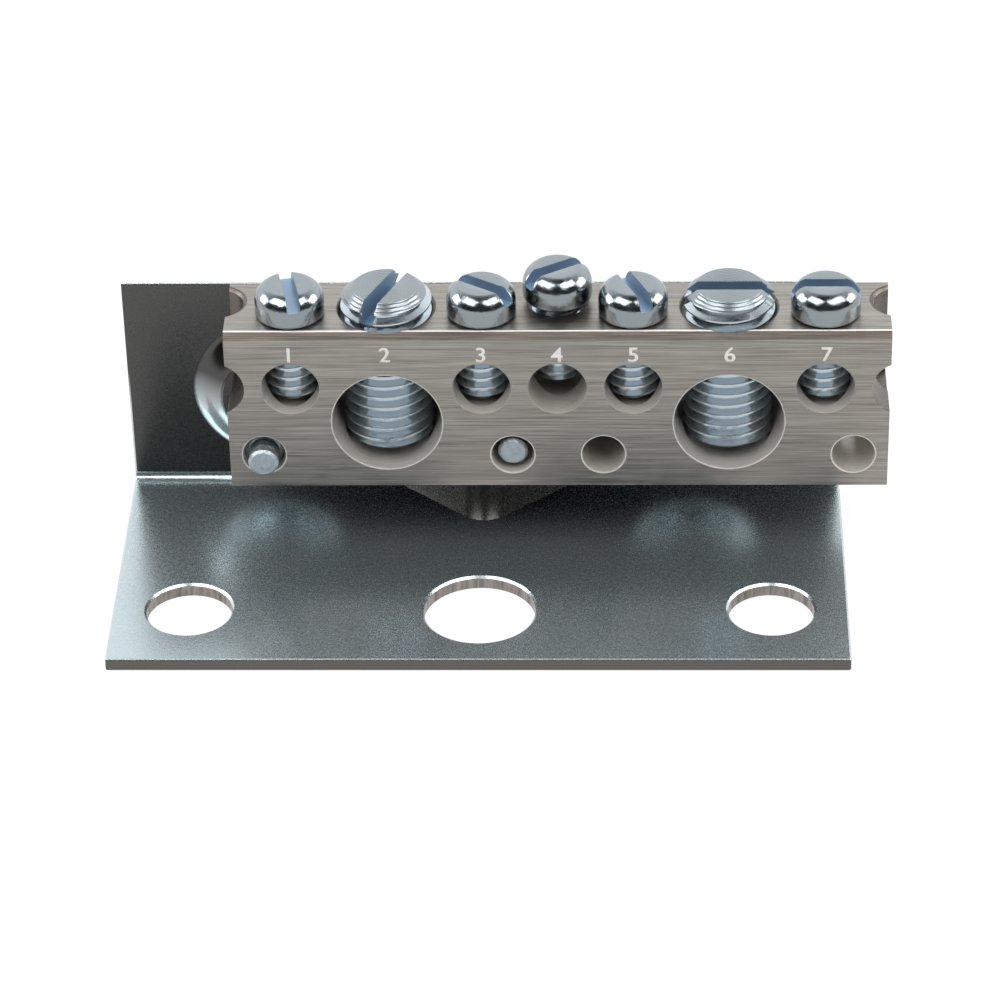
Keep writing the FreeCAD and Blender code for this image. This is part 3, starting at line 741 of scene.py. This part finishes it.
class GROUNDBAR_OT_port_screws(bpy.types.Operator):
    """Builds the five slotted clamp screws"""
    bl_idname = "groundbar.port_screws"
    bl_label = "Port screws"

    def execute(self, context):
        sizes, finish = context.scene.ground_bar_screws, context.scene.ground_bar_finish
        metals = {
            "thread": zinc_screw("zinc_thread", finish.screw),
            "head": zinc_screw("zinc_head", finish.head),
            "slot": passivated_slot(finish)}
        low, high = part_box(PORT_SCREWS[0])
        tip = low.z - high.z + sizes.port_head
        slot_floor = sizes.port_head - sizes.port_slot_depth

        def metal_on(face):
            centre = face.calc_center_median()
            if in_slot(centre, sizes.port_slot, slot_floor):
                return "slot"
            # Heads get the darker head colour, a painted shade
            return "head" if centre.z > -SEAM else "thread"

        screw = self.screw(sizes, tip)
        coat(screw, metals, metal_on)
        for number, node in enumerate(PORT_SCREWS, start=1):
            low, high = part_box(node)
            middle = (low + high) / 2
            stand = (Matrix.Translation((middle.x, middle.y, high.z - sizes.port_head))
                     @ Matrix.Rotation(getattr(sizes, f"turn_port_{number}"), 4, "Z"))
            as_piece(f"slotted_screw_{number}", placed(screw, stand), metals.values(), node, node)
        screw.free()
        return {"FINISHED"}

    def screw(self, sizes, tip):
        """One screw, seated on Z 0 with its slot along X."""
        radius, top, dome = sizes.port_head_radius, sizes.port_head, sizes.port_dome
        lean = math.degrees(math.acos((sizes.port_crown - radius + dome) / dome))
        dome_level = top - dome * math.sin(math.radians(lean))
        edge = CROWN_SHARE * dome
        rise = top - edge - dome_level
        run = math.sqrt((dome - edge) ** 2 - rise ** 2)
        meet = math.degrees(math.atan2(rise, run))
        profile = [(0.0, 0.0)]
        profile += arc((radius - sizes.port_seat, sizes.port_seat), sizes.port_seat, -90, 0, SEAT_STEPS)
        profile += arc((radius - dome, dome_level), dome, 0, meet, DOME_STEPS)
        profile += arc((radius - dome + run, top - edge), edge, meet, 90, CROWN_STEPS)[1:]
        profile += [(0.0, top)]
        slot_floor = top - sizes.port_slot_depth
        head = cut_slot(turned(profile), sizes.port_slot, slot_floor, 2 * radius, sizes.slot_edge)
        shank = threaded(sizes.port_radius, sizes.port_depth, sizes.port_pitch, tip, sizes.port_seat)
        outline = turned([(0.0, tip), (sizes.port_radius - sizes.port_tip, tip),
                          (sizes.port_radius, tip + sizes.port_tip), (sizes.port_radius, 2 * sizes.port_seat),
                          (0.0, 2 * sizes.port_seat)])
        return combine(head, combine(shank, outline, "INTERSECT"), "UNION")


class GROUNDBAR_OT_main_screws(bpy.types.Operator):
    """Builds the two large headless clamp screws"""
    bl_idname = "groundbar.main_screws"
    bl_label = "Main screws"

    def execute(self, context):
        sizes, finish = context.scene.ground_bar_screws, context.scene.ground_bar_finish
        metals = {
            "thread": zinc_screw("zinc_set_screw", finish.screw),
            "crown": turned_zinc(finish),
            "slot": passivated_slot(finish)}
        low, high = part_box(MAIN_SCREWS[0])
        tip, radius = low.z - high.z, sizes.main_radius
        rod = threaded(radius, sizes.main_depth, sizes.main_pitch, tip, sizes.main_tip)
        outline = turned([(0.0, tip), (radius - sizes.main_tip, tip), (radius, tip + sizes.main_tip),
                          (radius, -sizes.main_crown_drop), (radius - sizes.main_crown_run, 0.0),
                          (0.0, 0.0)])

        def metal_on(face):
            centre = face.calc_center_median()
            if in_slot(centre, sizes.main_slot, -sizes.main_slot_depth):
                return "slot"
            # The crown gets the heads' darker colour, a painted shade
            return "crown" if centre.z > -sizes.main_crown_drop else "thread"

        rod = combine(rod, outline, "INTERSECT")
        rod = cut_slot(rod, sizes.main_slot, -sizes.main_slot_depth, 2 * radius, sizes.slot_edge)
        bmesh.ops.dissolve_degenerate(rod, dist=WELD, edges=rod.edges)
        coat(rod, metals, metal_on)
        for side, node in zip(("left", "right"), MAIN_SCREWS):
            low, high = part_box(node)
            middle = (low + high) / 2
            stand = (Matrix.Translation((middle.x, middle.y, high.z))
                     @ Matrix.Rotation(getattr(sizes, f"turn_main_{side}"), 4, "Z"))
            as_piece(f"set_screw_{side}", placed(rod, stand), metals.values(), node, node, stand)
        rod.free()
        return {"FINISHED"}


class GROUNDBAR_OT_mount_screws(bpy.types.Operator):
    """Builds the two screws that hold the bar to the flange"""
    bl_idname = "groundbar.mount_screws"
    bl_label = "Mounting screws"

    def execute(self, context):
        sizes = context.scene.ground_bar_screws
        metal = forged_zinc(context.scene.ground_bar_finish)
        for side, node in zip(("left", "centre"), MOUNT_SCREWS):
            low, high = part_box(node)
            middle = (low + high) / 2
            seat = high.y - sizes.mount_head
            stand = Matrix.Translation((middle.x, seat, middle.z)) @ Matrix.Rotation(-math.pi / 2, 4, "X")
            screw = self.screw(sizes, low.y - seat)
            as_piece(f"washer_screw_{side}", placed(screw, stand), [metal], FRAME_BODY, node)
            screw.free()
        return {"FINISHED"}

    def screw(self, sizes, tip):
        """One screw with its washer face on Z 0, its head above and its tip below."""
        radius, washer, thick = sizes.mount_radius, sizes.mount_washer_radius, sizes.mount_washer
        point, head_top = sizes.mount_tip, sizes.mount_head
        corner = sizes.mount_hex / math.sqrt(3)
        shank = threaded(radius, sizes.mount_depth, sizes.mount_pitch, tip, thick / 2)
        outline = turned([(0.0, tip), (point - TIP_BREAK, tip), (point, tip + TIP_BREAK),
                          (point, tip + sizes.mount_taper - TAPER_RUN), (radius, tip + sizes.mount_taper),
                          (radius, thick), (0.0, thick)])
        shank = combine(shank, outline, "INTERSECT")
        disc = turned([(0.0, 0.0), (washer - WASHER_BREAK, 0.0), (washer, WASHER_BREAK),
                       (washer, WASHER_RIM * thick), (WASHER_CROWN * washer, thick), (0.0, thick)])
        hexagon = bmesh.new()
        bmesh.ops.create_cone(hexagon, cap_ends=True, segments=6, radius1=corner, radius2=corner,
                              depth=head_top, matrix=Matrix.Translation((0, 0, head_top / 2)))
        dome = turned([(0.0, HEX_FOOT), (corner, HEX_FOOT), (corner, head_top - HEX_DROP),
                       (HEX_CROWN * sizes.mount_hex, head_top), (0.0, head_top)])
        head = combine(combine(hexagon, dome, "INTERSECT"), disc, "UNION")
        return combine(head, shank, "UNION")


class GROUNDBAR_OT_stage(bpy.types.Operator):
    """Sets up the white floor, the studio lights and the camera"""
    bl_idname = "groundbar.stage"
    bl_label = "Stage"

    def execute(self, context):
        finish, scene = context.scene.ground_bar_finish, context.scene
        scene.view_settings.view_transform = "Standard"
        self.floor(scene, finish)
        self.surround(scene, finish)
        self.lamps(scene)
        self.camera(scene)
        return {"FINISHED"}

    def floor(self, scene, finish):
        """A wide floor that is seen as white, still takes a faint shadow and is clear from below."""
        plane = bmesh.new()
        bmesh.ops.create_grid(plane, x_segments=1, y_segments=1, size=FLOOR_SIZE,
                              matrix=Matrix.Translation((0, 0, -FLOOR_DROP)))
        mesh = bpy.data.meshes.new("floor")
        plane.to_mesh(mesh)
        plane.free()
        floor = bpy.data.objects.new("floor", mesh)
        scene.collection.objects.link(floor)
        material, tree = new_material("studio_floor")
        path = add_node(tree, "ShaderNodeLightPath").outputs
        seen = add_node(tree, "ShaderNodeMath", {0: path["Is Camera Ray"], 1: path["Is Glossy Ray"]},
                        operation="MAXIMUM")
        seen = add_node(tree, "ShaderNodeMath", {0: seen.outputs[0], 1: path["Is Transmission Ray"]},
                        operation="MAXIMUM")
        share = add_node(tree, "ShaderNodeMath", {0: seen.outputs[0], 1: FLOOR_GLOW}, operation="MULTIPLY")
        lit = add_node(tree, "ShaderNodeBsdfDiffuse", {"Color": finish.floor})
        glow = add_node(tree, "ShaderNodeEmission", {"Color": finish.floor, "Strength": 1.0})
        mixed = add_node(tree, "ShaderNodeMixShader", {
            0: share.outputs[0], 1: lit.outputs[0], 2: glow.outputs[0]})
        below = add_node(tree, "ShaderNodeNewGeometry").outputs["Backfacing"]
        clear = add_node(tree, "ShaderNodeBsdfTransparent")
        mixed = add_node(tree, "ShaderNodeMixShader", {0: below, 1: mixed.outputs[0], 2: clear.outputs[0]})
        add_node(tree, "ShaderNodeOutputMaterial", {"Surface": mixed.outputs[0]})
        mesh.materials.append(material)

    def surround(self, scene, finish):
        """A studio that is bright behind the object and dark round the camera."""
        world = bpy.data.worlds.new("studio")
        scene.world = world
        world.use_nodes = True
        tree = world.node_tree
        direction = add_node(tree, "ShaderNodeTexCoord").outputs["Generated"]
        along = add_node(tree, "ShaderNodeSeparateXYZ", {"Vector": direction}).outputs["Y"]
        light = tree.nodes["Background"]
        light.inputs["Color"].default_value = finish.studio
        tree.links.new(spread(tree, along, *STUDIO_LIGHT, *STUDIO_REACH), light.inputs["Strength"])

    def lamps(self, scene):
        """Softboxes left and right of the camera, and lower ones at the sides."""
        for name, azimuth, build in LAMPS:
            lamp = bpy.data.lights.new(name, "AREA")
            lamp.shape = "RECTANGLE"
            lamp.size, lamp.size_y = build["wide"], build["tall"]
            lamp.energy = build["power"]
            turn, lift = math.radians(azimuth), math.radians(build["elevation"])
            towards = Vector((math.sin(turn) * math.cos(lift), -math.cos(turn) * math.cos(lift),
                              math.sin(lift)))
            light = bpy.data.objects.new(name, lamp)
            light.location = LAMP_TARGET + LAMP_DISTANCE * towards
            light.rotation_euler = towards.to_track_quat("Z", "Y").to_euler()
            scene.collection.objects.link(light)

    def camera(self, scene):
        """The photograph's camera: a long lens in front, above and a little to the right."""
        camera = bpy.data.cameras.new("photo_camera")
        camera.lens = CAMERA_LENS
        camera.sensor_width = CAMERA_SENSOR
        holder = bpy.data.objects.new("photo_camera", camera)
        holder.matrix_world = (Matrix.Translation(CAMERA_PLACE)
                               @ Matrix.Rotation(math.radians(CAMERA_PAN), 4, "Z")
                               @ Matrix.Rotation(math.radians(90 - CAMERA_FALL), 4, "X")
                               @ Matrix.Rotation(math.radians(CAMERA_ROLL), 4, "Z"))
        scene.collection.objects.link(holder)
        scene.camera = holder


OPERATORS = (GROUNDBAR_OT_bracket, GROUNDBAR_OT_terminal_bar, GROUNDBAR_OT_port_screws,
             GROUNDBAR_OT_main_screws, GROUNDBAR_OT_mount_screws, GROUNDBAR_OT_stage)


class GROUNDBAR_PT_panel(bpy.types.Panel):
    """Sidebar panel with one button for each piece"""
    bl_label = "Ground bar"
    bl_idname = "GROUNDBAR_PT_panel"
    bl_space_type = "VIEW_3D"
    bl_region_type = "UI"
    bl_category = "Ground bar"

    def draw(self, context):
        for operator in OPERATORS:
            self.layout.operator(operator.bl_idname)


CLASSES = (GroundBarFinish, GroundBarPlate, GroundBarScrews, *OPERATORS, GROUNDBAR_PT_panel)


def register():
    """Adds the classes and the scene's settings."""
    for cls in CLASSES:
        bpy.utils.register_class(cls)
    bpy.types.Scene.ground_bar_finish = PointerProperty(type=GroundBarFinish)
    bpy.types.Scene.ground_bar_plate = PointerProperty(type=GroundBarPlate)
    bpy.types.Scene.ground_bar_screws = PointerProperty(type=GroundBarScrews)


def unregister():
    """Takes the settings and the classes away again."""
    del bpy.types.Scene.ground_bar_screws
    del bpy.types.Scene.ground_bar_plate
    del bpy.types.Scene.ground_bar_finish
    for cls in reversed(CLASSES):
        bpy.utils.unregister_class(cls)


def main():
    """Builds the whole object."""
    register()
    bpy.ops.groundbar.bracket()
    bpy.ops.groundbar.terminal_bar()
    bpy.ops.groundbar.port_screws()
    bpy.ops.groundbar.main_screws()
    bpy.ops.groundbar.mount_screws()
    bpy.ops.groundbar.stage()
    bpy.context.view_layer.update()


if __name__ == "__main__":
    main()
